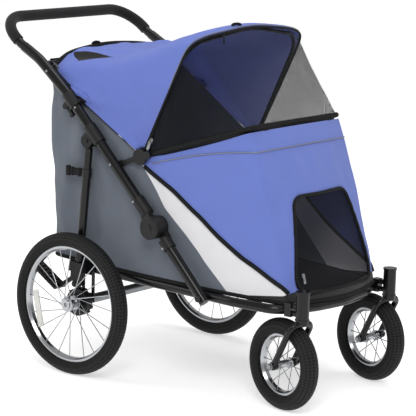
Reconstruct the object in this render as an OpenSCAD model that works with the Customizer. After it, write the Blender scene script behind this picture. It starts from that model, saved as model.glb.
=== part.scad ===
// Folding pet stroller: a four-bar frame on two spoked rear wheels and two swivelling front
// casters, with a fabric cabin, a mesh door, a mesh screen and a canopy that folds back.
// +X is forward, +Y is left, +Z is up. The origin lies on the floor under the middle of the part.

/* [Rear wheels] */
// Outer radius of the rear tyre
rear_tyre_r = 197; // [185:1:205]
// Radius of the rear tyre's round section
rear_section_r = 21.6; // [19:0.1:23]
// Outer radius of the rear rim's flanges
rear_rim_r = 160.5; // [155:0.5:163]
// Distance from the centre plane to the middle of a rear wheel
rear_wheel_y = 312.5; // [310:0.5:325]
// Number of spokes in a rear wheel
rear_spokes = 20; // [12:2:28]
// Radius of the rear hub's barrel
rear_hub_r = 13; // [11:0.5:16]
// Radius of the rear axle's stub in the hub
axle_stub_r = 6; // [5:0.25:7]

/* [Front casters] */
// Outer radius of the front tyre
front_tyre_r = 122; // [115:1:125]
// Radius of the front tyre's round section
front_section_r = 23.8; // [20:0.1:25]
// Outer radius of the front rim's flanges
front_rim_r = 82; // [76:0.5:88]
// Number of spokes in a front wheel
front_spokes = 14; // [8:2:20]
// Forward distance from the rear axle to the casters' swivel axes
caster_x = 696; // [680:1:720]
// Distance from the centre plane to a caster's swivel axis
caster_y = 202.5; // [198:0.5:215]
// Distance that the front axle trails behind the swivel axis
caster_trail = 64; // [50:1:68]
// Angle at which the casters stand, about the vertical
caster_yaw = -11.4; // [-20:0.1:20]
// Radius of the head tube
head_r = 17.5; // [15:0.5:20]
// Height of the head tube's lower end
head_bottom = 250; // [250:0.5:254]
// Length of the head tube
head_len = 77; // [60:1:90]
// Radius of the fork's stem
stem_r = 8; // [6:0.25:10]
// Radius of the fork's bent tube
fork_r = 8.5; // [7:0.25:9]
// Radius of the front axle
front_axle_r = 5; // [4:0.25:6]

/* [Frame tubes] */
// Radius of the slanted frame tubes
tube_r = 14; // [12:0.25:14.5]
// Distance from the centre plane to the middle of a slanted tube
tube_y = 272; // [271:0.25:273]
// Forward position of the lower tube's pivot on the base rail
pivot_x = 421; // [410:1:430]
// Height of the lower tube's pivot
pivot_z = 276; // [274:0.5:280]
// Forward position of the folding hinge
hinge_x = 262; // [255:1:268]
// Height of the folding hinge
hinge_z = 443; // [438:1:448]
// Radius of the base rails and of the front cross tube
rail_r = 12.5; // [11:0.25:13]
// Distance from the centre plane to the middle of a base rail
rail_y = 243; // [241:0.25:244]
// Height of the base rails above the rear axle
rail_z = 288; // [284:0.5:292]
// Downward slope of the base rails, in degrees
rail_slope = 1.6; // [0:0.1:2.5]

/* [Rear legs] */
// Radius of a rear leg's lower tube
leg_r = 12; // [11:0.25:12]
// Radius of a rear leg's upper tube
leg_top_r = 11; // [9:0.25:11]
// Forward position of the leg's pivot on the rear bracket
leg_x = -14; // [-16:0.5:-12]
// Height of the leg's pivot
leg_z = 245.5; // [245:0.5:250]
// Radius of the pivot bolts
bolt_r = 5; // [4:0.25:6]

/* [Folding hinge] */
// Radius of the outer hinge cap
cap_r = 31; // [29:0.5:34]
// Distance from the centre plane to the cap's rim
cap_y = 303; // [300:0.5:306]
// Radius of the sockets that hold the tubes
socket_r = 17.5; // [16:0.25:18]
// Distance from the hinge to the start of both sockets
socket_start = 42; // [41:0.5:46]
// Distance from the hinge to the end of the upper socket
socket_up = 93; // [80:1:110]
// Distance from the hinge to the end of the lower socket
socket_low = 72; // [64:1:90]
// Radius of the release button
button_r = 11; // [8:0.25:13]

/* [Handle] */
// Radius of the handle tube
handle_r = 12.5; // [11:0.25:13]
// Radius of the foam grip
grip_r = 15.5; // [14.5:0.25:18]
// Forward position of the handle's cross bar
handle_x = -320; // [-335:1:-305]
// Height of the handle's cross bar
handle_z = 952; // [940:1:965]
// Bend radius of the handle's corners
handle_bend = 85; // [60:1:92]

/* [Canopy and cabin] */
// Forward position of the canopy pivot
canopy_x = 192; // [186:1:198]
// Height of the canopy pivot
canopy_z = 621; // [616:1:626]
// Angle of the open hoop above the horizontal
hoop_tilt = 65.5; // [60:0.5:70]
// Distance from the canopy pivot to the top of the hoop
hoop_reach = 377; // [360:1:390]
// Radius of the hoop's rod
hoop_r = 5; // [4:0.25:6]
// Angle of the cabin's rim above the horizontal
rim_tilt = 17; // [14:0.5:20]
// Distance from the canopy pivot to the front of the rim
rim_reach = 335; // [325:1:345]
// Radius of the bow in the rim, with its hem
rim_r = 7; // [5:0.25:8]
// Thickness of the cabin's fabric walls
cloth = 3; // [2:0.25:4]
// Half the width of the cabin
cabin_half = 251; // [246:0.5:253]
// Forward position of the cabin's front at the bottom
cabin_front = 695; // [680:1:700]
// Rear face of the cabin behind the rear axle
cabin_rear = 137; // [130:1:145]
// Thickness of the floor board
board_t = 5; // [4:0.5:8]
// Height where the lower part of the cabin ends
tub_top = 552; // [545:1:556]
// Half the width of the door window at the bottom
window_half = 165; // [140:1:175]

/* [Brake] */
// Tip radius of the toothed brake ring
ring_r = 38; // [34:0.5:38.5]
// Number of teeth on the brake ring
ring_teeth = 12; // [12:12:12]
// Depth of the teeth
tooth_depth = 5; // [4:0.5:6]
// Length of the pedal's ribbed plate
pedal_len = 104; // [80:1:115]
// Width of the pedal
pedal_w = 44; // [30:1:44]
// Number of ribs on the pedal
pedal_ribs = 6; // [3:1:9]

/* [Hidden] */
$fn = 48;
// How far a tube's straight reaches into its bend, and how much fuller the bend is
lap = 0.6;
swell = 0.03;
// Running clearance of a pin in its bore, on the radius
run = 0.06;
// Gap between a piece and its seat
fit = 0.05;
// Gap between pieces that move past each other, and round soft pieces
gap = 0.3;
hinge = [hinge_x, 0, hinge_z];
pivot = [pivot_x, 0, pivot_z];
leg_foot = [leg_x, 0, leg_z];
canopy_c = [canopy_x, 0, canopy_z];
// Direction of the lower tube from the hinge, and of the upper tube from the hinge
down = unit(pivot - hinge);
up = unit([-60, 0, 765] - hinge);
up_angle = atan2(up[2], up[0]);
down_angle = atan2(down[2], down[0]);
// Where the leg's top meets the lug, beside the upper tube
lug_along = 314;
lug_off = 26;
normal = [up[2], 0, -up[0]];
lug = hinge + up * lug_along - normal * lug_off;
leg_dir = unit(lug - leg_foot);
leg_len = norm(lug - leg_foot);
leg_angle = atan2(leg_dir[2], leg_dir[0]);
tube_top = [-236, 0, 887];
tube_bends = [hinge + up * (socket_start + 5), [-60, 0, 765], [-165, 0, 850], tube_top];
tube_len = norm(pivot - hinge);
cap_mid = tube_y - 1;
tub_depth = rail_r + gap;
hub_half = 23;
front_hub_half = 26;
fork_half = front_section_r + fork_r + 3;
fork_top = head_bottom - fork_r - 0.5;
front_hub_x = caster_x - caster_trail * cos(caster_yaw);
rear_edge = handle_x - grip_r;
front_edge = front_hub_x + (front_tyre_r - front_section_r) * cos(caster_yaw) + front_section_r;
mid_x = (rear_edge + front_edge) / 2;
brake_pin = [-40, 0, 262];
pawl = [-38, 0, 219];
pawl_r = 3.5;
pawl_turn = 8;
drum_y = tube_y - 10;
bracket_y = rail_y + rail_r + 0.1;
bracket_t = 4;

function unit(v) = v / norm(v);
function turn(a, p, b) = acos(max(-1, min(1, unit(p - a) * unit(b - p))));
function setback(pts, i, bends) =
    i <= 0 || i >= len(pts) - 1 ? 0 : bends[i] * tan(turn(pts[i - 1], pts[i], pts[i + 1]) / 2);
function out(p, y) = [p[0], y, p[2]];
function rail_at(x, y) = [x, y, rail_z - x * tan(rail_slope)];
// Where the straight rails end and the bowed front tube begins
rail_end = 470;
// A point in a plane through the canopy pivot, at an angle above the horizontal
function fan(angle, r, y) = canopy_c + [r * cos(angle), y, r * sin(angle)];

module placed() translate([-mid_x, 0, 0]) children();
module side(s) {
    if (s > 0) children();
    else mirror([0, 1, 0]) children();
}
// A round bar between two points
module rod(a, b, r) {
    d = b - a;
    translate(a) rotate([0, acos(d[2] / norm(d)), atan2(d[1], d[0])]) cylinder(r = r, h = norm(d));
}
// The bend of a tube at p, between a and b
module elbow(a, p, b, r, bend) {
    w = turn(a, p, b);
    u = unit(a - p);
    v = unit(b - p);
    c = p + unit(u + v) * bend / cos(w / 2);
    e1 = unit(p + u * bend * tan(w / 2) - c);
    e3 = unit(cross(e1, unit(p + v * bend * tan(w / 2) - c)));
    e2 = cross(e3, e1);
    multmatrix([[e1[0], e2[0], e3[0], c[0]], [e1[1], e2[1], e3[1], c[1]],
        [e1[2], e2[2], e3[2], c[2]], [0, 0, 0, 1]])
        rotate_extrude(angle = w) translate([bend, 0]) circle(r = r + swell);
}
// A bent tube along pts, with one bend radius a point
module tube(pts, r, bends) {
    for (i = [0 : len(pts) - 2]) {
        d = unit(pts[i + 1] - pts[i]);
        from = setback(pts, i, bends);
        to = setback(pts, i + 1, bends);
        rod(pts[i] + d * (from > 0 ? from - lap : 0), pts[i + 1] - d * (to > 0 ? to - lap : 0), r);
    }
    for (i = [1 : 1 : len(pts) - 2]) elbow(pts[i - 1], pts[i], pts[i + 1], r, bends[i]);
}
// A cylinder along Y at a point of the side view
module cross_pin(p, y0, y1, r) translate([p[0], y0, p[2]]) rotate([-90, 0, 0]) cylinder(r = r, h = y1 - y0);
// Local +X points along an angle of the side view
module along(p, angle) translate(p) rotate([0, -angle, 0]) children();
// A flat bar in the side view, from x0 to x1 along an angle, between y0 and y1
module bar(p, angle, x0, x1, y0, y1, w)
    along([p[0], 0, p[2]], angle) translate([x0, y0, -w / 2]) cube([x1 - x0, y1 - y0, w]);
function inner(y) = [for (p = tube_bends) out(p, y)];

// ---- Base -------------------------------------------------------------------------------------
module base_rail() color("#2a2a2c") {
    rod(rail_at(-62, rail_y), rail_at(rail_end, rail_y), rail_r);
    cross_pin(pivot, rail_y + 6, tube_y + tube_r + 1.5, bolt_r);
    cross_pin(pivot, tube_y + tube_r + gap, tube_y + tube_r + 4.5, bolt_r + 4);
    cross_pin(pivot, rail_y + 6, tube_y - tube_r - gap, bolt_r + 3);
}
front_pts = [rail_at(rail_end, rail_y), rail_at(500, rail_y), rail_at(625, rail_y - 19), rail_at(676, 120), rail_at(690, 0),
    rail_at(676, -120), rail_at(625, 19 - rail_y), rail_at(500, -rail_y),
    rail_at(rail_end, -rail_y)];
module base_front() color("#2a2a2c") tube(front_pts, rail_r, [0, 90, 60, 150, 200, 150, 60, 90, 0]);
module caster_arm() color("#2a2a2c") difference() {
    union() {
        translate([646, caster_y - 11, 256]) cube([20, 22, 36]);
        for (z = [264, 284.5]) rod([658, caster_y, z], [caster_x, caster_y, z], 7);
        translate([caster_x, caster_y, head_bottom]) cylinder(r = head_r, h = head_len);
        translate([caster_x, caster_y, head_bottom + head_len - 4]) cylinder(r = head_r + 1.5, h = 4);
        translate([caster_x, caster_y, head_bottom]) cylinder(r = head_r + 1.5, h = 4);
    }
    translate([caster_x, caster_y, head_bottom - 1]) cylinder(r = stem_r + run, h = head_len - 7);
    tube([front_pts[1], front_pts[2], front_pts[3]], rail_r + fit, [0, 60, 0]);
}
module rear_bracket() color("#33363a") difference() {
    union() {
        translate([-9, bracket_y, 272]) cube([44, bracket_t, 22]);
        for (x = [-9, 26]) translate([x, bracket_y, rear_tyre_r]) cube([9, bracket_t, 280 - rear_tyre_r]);
        cross_pin([0, 0, rear_tyre_r], bracket_y, bracket_y + bracket_t, 20);
        translate([0, bracket_y, rear_tyre_r]) cube([35, bracket_t, 12]);
        cross_pin(leg_foot, bracket_y, bracket_y + bracket_t, bolt_r + 5);
        translate([leg_x, bracket_y, leg_z - 8]) cube([12, bracket_t, 16]);
        cross_pin(leg_foot, bracket_y, tube_y + leg_r + 4, bolt_r);
        cross_pin(leg_foot, tube_y + leg_r + gap, tube_y + leg_r + 4, bolt_r + 3);
    }
    cross_pin([0, 0, rear_tyre_r], bracket_y - 1, bracket_y + bracket_t + 1, axle_stub_r + fit);
}
module rear_axle() color("#8d9094") {
    cross_pin([0, 0, rear_tyre_r], -bracket_y + fit, bracket_y - fit, 13);
    cross_pin([0, 0, rear_tyre_r], -rear_wheel_y - hub_half + 3, rear_wheel_y + hub_half - 3, axle_stub_r);
}
// ---- Brake ------------------------------------------------------------------------------------
module brake_mount() color("#2a2a2c") difference() {
    union() {
        for (y = [rail_y - 14, rail_y + 6]) {
            cross_pin(brake_pin, y, y + 4, 9);
            translate([brake_pin[0] - 9, y, brake_pin[2]]) cube([18, 4, 22]);
        }
        cross_pin(brake_pin, rail_y - 14, rail_y + 10, 4);
    }
    rod(rail_at(-80, rail_y), rail_at(60, rail_y), rail_r + fit);
}
module brake_pedal() {
    arm = unit([-108, 0, 217] - brake_pin);
    reach = norm([-108, 0, 217] - brake_pin);
    tip = unit(pawl - brake_pin);
    plate = 148.3;
    color("#1f1f21") difference() {
        union() {
            cross_pin(brake_pin, rail_y - 10 + gap, rail_y + 6 - gap, 8);
            bar(brake_pin, atan2(arm[2], arm[0]), 0, reach, rail_y - 9, rail_y + 5, 11);
            bar(brake_pin, atan2(tip[2], tip[0]), 0, norm(pawl - brake_pin), rail_y - 8, rail_y + 4, 9);
            cross_pin(pawl, rail_y - 7, drum_y + 14, pawl_r);
            cross_pin(pawl, rail_y - 7.5, rail_y + 4.5, 6);
            bar([-108, 0, 217], plate, -4, pedal_len, rail_y - pedal_w / 2, rail_y + pedal_w / 2, 8);
            for (i = [0 : pedal_ribs - 1])
                bar([-108, 0, 217], plate, 8 + i * (pedal_len - 16) / pedal_ribs,
                    8 + (i + 0.5) * (pedal_len - 16) / pedal_ribs,
                    rail_y - pedal_w / 2 + 3, rail_y + pedal_w / 2 - 3, 13);
        }
        cross_pin(brake_pin, rail_y - 20, rail_y + 20, 4 + run);
    }
}
// ---- Lower tubes and hinge --------------------------------------------------------------------
module lower_tube() color("#2a2a2c") difference() {
    rod(out(hinge + down * (socket_start + 5), tube_y), out(pivot + down * 16, tube_y), tube_r);
    cross_pin(pivot, tube_y - 40, tube_y + 40, bolt_r + run);
}
module hinge_lower() color("#1f1f21") difference() {
    union() {
        cross_pin(hinge, tube_y - 15, cap_mid - 0.15, cap_r - 2);
        bar(hinge, down_angle, 0, socket_start + 3, tube_y - 14.4, cap_mid - 0.7, 28);
        along(out(hinge, tube_y), down_angle) translate([socket_start, 0, 0])
            rotate([0, 90, 0]) cylinder(r = socket_r, h = socket_low - socket_start);
        cross_pin(hinge, tube_y - 15, cap_y - 9, 6);
    }
    rod(out(hinge + down * (socket_start + 4.8), tube_y), out(pivot, tube_y), tube_r + fit);
}
module hinge_upper() color("#1f1f21") difference() {
    union() {
        cross_pin(hinge, cap_mid + 0.15, cap_y, cap_r);
        translate([hinge_x, cap_y, hinge_z]) rotate([-90, 0, 0])
            cylinder(r1 = cap_r, r2 = cap_r - 6, h = 4);
        bar(hinge, up_angle, 0, socket_start + 3, cap_mid + 0.7, tube_y + 15.5, 28);
        along(out(hinge, tube_y), up_angle) translate([socket_start, 0, 0])
            rotate([0, 90, 0]) cylinder(r = socket_r, h = socket_up - socket_start);
    }
    rod(out(hinge + up * (socket_start + 4.8), tube_y), out(hinge + up * 150, tube_y), tube_r + fit);
    cross_pin(hinge, tube_y - 30, cap_y, 6 + run);
    cross_pin(hinge, cap_y - 6, cap_y + 20, button_r + run);
}
module hinge_button() color("#8d9094") {
    cross_pin(hinge, cap_y - 2, cap_y + 5, button_r);
    translate([hinge_x, cap_y + 5, hinge_z]) rotate([-90, 0, 0])
        cylinder(r1 = button_r, r2 = button_r - 2, h = 1.2);
}
// ---- Upper frame ------------------------------------------------------------------------------
tube_end = tube_top + unit(tube_bends[2] - tube_top) * 14;
module upper_tube() color("#2a2a2c")
    tube([for (p = [tube_bends[0], tube_bends[1], tube_bends[2], tube_end]) out(p, tube_y)], tube_r, [0, 160, 160, 0]);
handle_pts = [out(tube_end, tube_y), out(tube_top, tube_y), [handle_x, tube_y, handle_z],
    [handle_x, -tube_y, handle_z], out(tube_top, -tube_y), out(tube_end, -tube_y)];
handle_bends = [0, 60, handle_bend, handle_bend, 60, 0];
handle_dir = unit([handle_x, 0, handle_z] - tube_top);
module handle_bar() color("#2a2a2c")
    tube(handle_pts, handle_r, handle_bends);
module grip() color("#1b1b1c") difference() {
    tube([handle_pts[1] + handle_dir * 13, handle_pts[2], handle_pts[3], handle_pts[4] + handle_dir * 13],
        grip_r, [0, handle_bend, handle_bend, 0]);
    tube(handle_pts, handle_r + fit, handle_bends);
}
module sleeve(s, length) rod(out(hinge + up * (s - length / 2), tube_y), out(hinge + up * (s + length / 2), tube_y), socket_r);
module lug_sleeve() color("#1f1f21") difference() {
    union() {
        sleeve(lug_along, 58);
        for (y = [[tube_y - 13.5, tube_y - 8], [tube_y + 8, tube_y + 15]]) {
            cross_pin(lug, y[0], y[1], 18.5);
            bar(lug, up_angle - 90, 0, lug_off, y[0], y[1], 36);
        }
        cross_pin(lug, tube_y + 14, tube_y + 17.5, 6);
    }
    rod(out(hinge + up * 200, tube_y), out(hinge + up * 400, tube_y), tube_r + fit);
}
hook_s = 433;
hook_pin = hinge + up * hook_s - normal * 25;
module latch_sleeve() color("#1f1f21") difference() {
    union() {
        sleeve(hook_s, 46);
        for (y = [tube_y - 10, tube_y + 5]) {
            cross_pin(hook_pin, y, y + 5, 8);
            bar(hook_pin, up_angle - 90, 0, 25, y, y + 5, 16);
        }
        cross_pin(hook_pin, tube_y - 10, tube_y + 10, 3);
        rod(out(hinge + up * (hook_s - 17), tube_y) + normal * 16, out(hinge + up * (hook_s - 17), tube_y) + normal * 24, 5);
    }
    tube(inner(tube_y), tube_r + fit, [0, 160, 160, 0]);
}
module latch_hook() color("#8d9094") difference() {
    union() {
        cross_pin(hook_pin, tube_y - 5 + gap, tube_y + 5 - gap, 6.5);
        bar(hook_pin, up_angle + 180, 0, 30, tube_y - 5 + gap, tube_y + 5 - gap, 8);
        bar(hook_pin - up * 30, up_angle - 90, -8, 4, tube_y - 5 + gap, tube_y + 5 - gap, 7);
    }
    cross_pin(hook_pin, tube_y - 20, tube_y + 20, 3 + run);
}
// The pivot plate of the canopy, with a link to the tube
bracket_in = cabin_half + 6;
module canopy_bracket() color("#1f1f21") difference() {
    union() {
        cross_pin(canopy_c, bracket_in, bracket_in + 8, 22);
        bar(canopy_c, rim_tilt, 0, 26, bracket_in, bracket_in + 7, 20);
        cross_pin(fan(rim_tilt, 26, 0), bracket_in, bracket_in + 8, 11);
        bar(canopy_c, atan2(-24, -62), 0, 78, bracket_in, bracket_in + 6, 12);
        bar(canopy_c, atan2(-24, -62), 66, 80, bracket_in + 1, tube_y - 5, 16);
        cross_pin(canopy_c, bracket_in - 14, bracket_in + 1, 4);
        cross_pin(fan(rim_tilt, 26, 0), bracket_in - 8, bracket_in + 1, 4);
    }
    tube(inner(tube_y), tube_r + fit, [0, 160, 160, 0]);
}
module rear_top_bar() color("#2a2a2c") {
    p = tube_bends[2] + unit(tube_bends[1] - tube_bends[2]) * 18;
    difference() {
        rod(out(p, -tube_y), out(p, tube_y), 8);
        for (y = [-tube_y, tube_y]) tube(inner(y), tube_r + fit, [0, 160, 160, 0]);
    }
}
rim_pts = [fan(rim_tilt, 26, bracket_in - 8), fan(rim_tilt, rim_reach, 206),
    fan(rim_tilt, rim_reach, -206), fan(rim_tilt, 26, 8 - bracket_in)];
module rim_bow() color("#1f1f21") difference() {
    tube(rim_pts, rim_r, [0, 80, 80, 0]);
    for (s = [-1, 1]) side(s) cross_pin(fan(rim_tilt, 26, 0), bracket_in - 30, bracket_in + 20, 4 + fit);
}
hoop_half = cabin_half - 2;
hoop_pts = [fan(hoop_tilt, 0, hoop_half), fan(hoop_tilt, hoop_reach - 40, hoop_half),
    fan(hoop_tilt, hoop_reach, 0), fan(hoop_tilt, hoop_reach - 40, -hoop_half),
    fan(hoop_tilt, 0, -hoop_half)];
module canopy_hoop() color("#2a2a2c") difference() {
    union() {
        tube(hoop_pts, hoop_r, [0, 75, 400, 75, 0]);
        for (s = [-1, 1]) side(s) cross_pin(canopy_c, hoop_half - 5, bracket_in - gap, 9);
    }
    for (s = [-1, 1]) side(s) cross_pin(canopy_c, hoop_half - 10, hoop_half + 20, 4 + run);
}
// ---- Fabric -----------------------------------------------------------------------------------
// Flat outlines: x runs away from the canopy pivot, y across
module hoop_outline(reach, grow) offset(r = 60, $fn = 32) offset(delta = grow - 60)
    polygon([[-60, -hoop_half], [reach - 40, -hoop_half], [reach, 0], [reach - 40, hoop_half],
        [-60, hoop_half]]);
module rim_outline(grow) offset(r = 70, $fn = 32) offset(delta = grow - 70)
    polygon([[-130, -cabin_half], [60, -cabin_half], [rim_reach, -208], [rim_reach + 10, 0],
        [rim_reach, 208], [60, cabin_half], [-130, cabin_half]]);
bottom_r = 385;
module bottom_outline(grow) offset(r = 24, $fn = 32) offset(delta = grow - 24)
    polygon(concat([[-cabin_rear, 244], [-cabin_rear, -244], [150, -cabin_half], [300, -cabin_half]],
        [for (a = [-31 : 6.2 : 31.1]) [cabin_front - bottom_r + bottom_r * cos(a), bottom_r * sin(a)]],
        [[300, cabin_half], [150, cabin_half]]));
module fan_plate(angle) translate(canopy_c) rotate([0, -angle, 0]) linear_extrude(height = 0.2) children();
// The whole cabin's space, drawn in by an amount
module cabin_space(by) hull() {
    translate([0, 0, rail_z + tub_depth + by]) rotate([0, rail_slope, 0]) linear_extrude(height = 0.2)
        bottom_outline(-by);
    fan_plate(rim_tilt) intersection() {
        rim_outline(-by);
        translate([0, -400]) square([500, 800]);
    }
    translate([-163 + by, by - 240, 846 - by]) cube([20, 480 - 2 * by, 0.2]);
    translate([-cabin_rear + by, by - 246, 560]) cube([330, 492 - 2 * by, 0.2]);
}
module window_shape(grow) rotate([90, 0, 90]) linear_extrude(height = 800) offset(r = 30 + grow, $fn = 32)
    offset(delta = -30) polygon([[-window_half, 312], [window_half, 312], [window_half - 20, 440],
        [window_half - 50, 535], [50 - window_half, 535], [20 - window_half, 440]]);
module cabin_tub() color("#7078a8") difference() {
    intersection() {
        cabin_space(0);
        translate([-300, -400, 200]) cube([1200, 800, tub_top - 200]);
    }
    cabin_space(cloth);
    translate([480, 0, 0]) window_shape(0);
}
module door_mesh() color("#3a3a3c") intersection() {
    difference() {
        cabin_space(0.8);
        cabin_space(2);
    }
    translate([480, 0, 0]) window_shape(-gap);
}
module cabin_upper() color("#7a86c8") difference() {
    intersection() {
        cabin_space(0);
        rotate([90, 0, 0]) translate([0, 0, -400]) linear_extrude(height = 800) polygon([
            [-300, tub_top + gap], [-300, canopy_z + 485 * tan(34)], [canopy_x - 5, canopy_z - 4],
            [canopy_x + 500, canopy_z - rim_r - 3 + 500 * tan(rim_tilt)], [900, tub_top + gap]]);
    }
    cabin_space(cloth);
    cross_pin(canopy_c, -400, 400, 28);
    cross_pin(fan(rim_tilt, 26, 0), -400, 400, 14);
    tube(rim_pts, rim_r + gap, [0, 80, 80, 0]);
    cross_pin(tube_bends[2] + unit(tube_bends[1] - tube_bends[2]) * 18, -400, 400, 9);
}
board_z = rail_z + tub_depth + cloth + 0.2;
module floor_board() color("#26262a") translate([0, 0, board_z]) rotate([0, rail_slope, 0])
    linear_extrude(height = board_t) bottom_outline(-cloth - 5);
// The canopy's cross sections: angle above the horizontal and reach from the pivot
ribs = [[hoop_tilt + 1, hoop_reach + 5], [81, 336], [93, 303], [117.6, 298], [139.6, 396], [146, 428]];
module canopy_space(by) for (i = [0 : len(ribs) - 2]) hull() {
    fan_plate(ribs[i][0]) hoop_outline(ribs[i][1] - by, -by);
    fan_plate(ribs[i + 1][0]) hoop_outline(ribs[i + 1][1] - by, -by);
}
module canopy() color("#7a86c8") difference() {
    intersection() {
        canopy_space(0);
        // Behind the hoop, and above the cabin's side edge
        along(canopy_c, hoop_tilt) translate([-5, -400, hoop_r + gap]) cube([900, 800, 900]);
    }
    canopy_space(2.5);
    cross_pin(canopy_c, -400, 400, 28);
    along(canopy_c, 146) translate([-100, -400, -0.4]) cube([900, 800, 40]);
}
// The mesh screen's cross sections run straight from the hoop to the rim
mesh_angles = [for (i = [0 : 4]) hoop_tilt - 1 - i * (hoop_tilt - 1 - rim_tilt) / 4];
function mesh_reach(a) = (hoop_reach + 4) * (rim_reach + 4) * sin(hoop_tilt - rim_tilt)
    / ((hoop_reach + 4) * sin(hoop_tilt - a) + (rim_reach + 4) * sin(a - rim_tilt));
module mesh_outline(angle, by) {
    f = (hoop_tilt - angle) / (hoop_tilt - rim_tilt);
    reach = mesh_reach(angle);
    offset(r = 60, $fn = 24) offset(delta = -by - 60) polygon([[-60, -hoop_half], [60, -hoop_half],
        [reach - 40 + 38 * f, 43 * f - hoop_half], [reach + 6 * f, 0],
        [reach - 40 + 38 * f, hoop_half - 43 * f], [60, hoop_half], [-60, hoop_half]]);
}
module mesh_space(by) for (i = [0 : 3]) hull() {
    fan_plate(mesh_angles[i]) mesh_outline(mesh_angles[i], by);
    fan_plate(mesh_angles[i + 1]) mesh_outline(mesh_angles[i + 1], by);
}
module mesh_screen() color("#2c2c30") difference() {
    intersection() {
        mesh_space(0);
        along(canopy_c, hoop_tilt) translate([0, -400, -900]) cube([900, 800, 900 - hoop_r - gap]);
        along(canopy_c, rim_tilt) translate([-50, -400, rim_r + gap]) cube([900, 800, 900]);
    }
    mesh_space(1.5);
    cross_pin(canopy_c, -400, 400, 28);
}
// ---- Rear legs --------------------------------------------------------------------------------
module rear_leg() color("#2a2a2c") {
    step = leg_len * 0.78;
    p = out(leg_foot, tube_y);
    rod(p + leg_dir * 16, p + leg_dir * step, leg_r - 0.4);
    rod(p + leg_dir * (step - 8), p + leg_dir * (leg_len - 22), leg_top_r);
    rod(p + leg_dir * (step - 14), p + leg_dir * (step + 10), leg_r + 1.5);
    bar(leg_foot, leg_angle, leg_len - 26, leg_len, tube_y - 6.5, tube_y + 6.5, 13);
    cross_pin(lug, tube_y - 6.5, tube_y + 6.5, 7.5);
}
module leg_foot_block() color("#1f1f21") difference() {
    union() {
        cross_pin(leg_foot, tube_y - leg_r + gap, tube_y + leg_r - gap, 9.5);
        bar(leg_foot, leg_angle, 0, 14, tube_y - leg_r + gap, tube_y + leg_r - gap, 18);
        bar(leg_foot, leg_angle, 8, 62, tube_y - 12 + gap, tube_y + 16, 30);
        bar(leg_foot, leg_angle, 34, 62, tube_y - 12 + gap, tube_y + 16, 44);
    }
    rod(out(leg_foot + leg_dir * 15.9, tube_y), out(leg_foot + leg_dir * 90, tube_y), leg_r - 0.4 + fit);
    cross_pin(leg_foot, tube_y - 40, tube_y + 40, bolt_r + run);
}
module leg_strap() color("#1b1b1c") translate([0, -tube_y, 0]) {
    p = leg_foot + leg_dir * leg_len * 0.78;
    bar(p - leg_dir * 10, leg_angle + 90, leg_r + 1.5 + fit, leg_r + 16, -1.5, 1.5, 20);
    bar(p - leg_dir * 8, leg_angle + 90, leg_r + 15, leg_r + 62, -3, 3, 40);
}
// ---- Wheels -----------------------------------------------------------------------------------
// A wheel part stands on its hub at the origin, with its axle along Y
module turned() rotate([-90, 0, 0]) rotate_extrude($fn = 96) children();
module tyre(r, section, rim) turned() difference() {
    translate([r - section, 0]) circle(r = section);
    translate([0, -section - 1]) square([rim + fit, 2 * section + 2]);
}
module spoked(rim, half, flange, spokes, hub_half_w, hub_r, bore) {
    difference() {
        union() {
            turned() polygon([[rim - 11, -half * 0.5], [rim - 6, -half], [rim, -half], [rim, 1.5 - half],
                [rim - 3, 2.5 - half], [rim - 3, half - 2.5], [rim, half - 1.5], [rim, half],
                [rim - 6, half], [rim - 11, half * 0.5]]);
            translate([0, -hub_half_w, 0]) rotate([-90, 0, 0]) cylinder(r = hub_r, h = 2 * hub_half_w);
            for (y = [-hub_half_w + 5, hub_half_w - 8]) translate([0, y, 0])
                rotate([-90, 0, 0]) cylinder(r = flange, h = 3);
            for (i = [0 : spokes - 1]) rotate([0, i * 360 / spokes, 0])
                rod([flange * 0.45, (i % 2 * 2 - 1) * (hub_half_w - 6.5), flange * 0.7],
                    [rim - 8, (i % 2 * 2 - 1) * half * 0.25, 0], 1.3);
        }
        rotate([90, 0, 0]) translate([0, 0, -200]) cylinder(r = bore, h = 400);
    }
}
module at_rear() translate([0, rear_wheel_y, rear_tyre_r]) children();
module rear_tyre() color("#1c1c1e") at_rear() tyre(rear_tyre_r, rear_section_r, rear_rim_r);
module rear_wheel() color("#c8ccd0") at_rear()
    spoked(rear_rim_r, 12, 17.5, rear_spokes, hub_half, rear_hub_r, axle_stub_r + run);
// The pawl when the pedal is down: the ring's valleys line up with it
pawl_arm = pawl - brake_pin;
pawl_in = brake_pin + [pawl_arm[0] * cos(pawl_turn) - pawl_arm[2] * sin(pawl_turn), 0,
    pawl_arm[0] * sin(pawl_turn) + pawl_arm[2] * cos(pawl_turn)];
valley_angle = atan2(pawl_in[2] - rear_tyre_r, pawl_in[0]);
module brake_ring() color("#1f1f21") translate([0, 0, rear_tyre_r]) difference() {
    cross_pin([0, 0, 0], drum_y + 0.5, rear_wheel_y - hub_half - fit, ring_r);
    for (i = [0 : ring_teeth - 1]) rotate([0, -valley_angle - i * 360 / ring_teeth, 0])
        translate([ring_r - tooth_depth, drum_y - 1, -5.2]) cube([20, 18, 10.4]);
    cross_pin([0, 0, 0], drum_y - 10, rear_wheel_y, axle_stub_r + run);
}
module at_caster() translate([caster_x, caster_y, 0]) rotate([0, 0, caster_yaw]) children();
module at_front() at_caster() translate([-caster_trail, 0, front_tyre_r]) children();
module front_tyre() color("#1c1c1e") at_front() tyre(front_tyre_r, front_section_r, front_rim_r);
module front_wheel() color("#c8ccd0") at_front()
    spoked(front_rim_r, 12, 15, front_spokes, front_hub_half, 10, front_axle_r + run);
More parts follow.
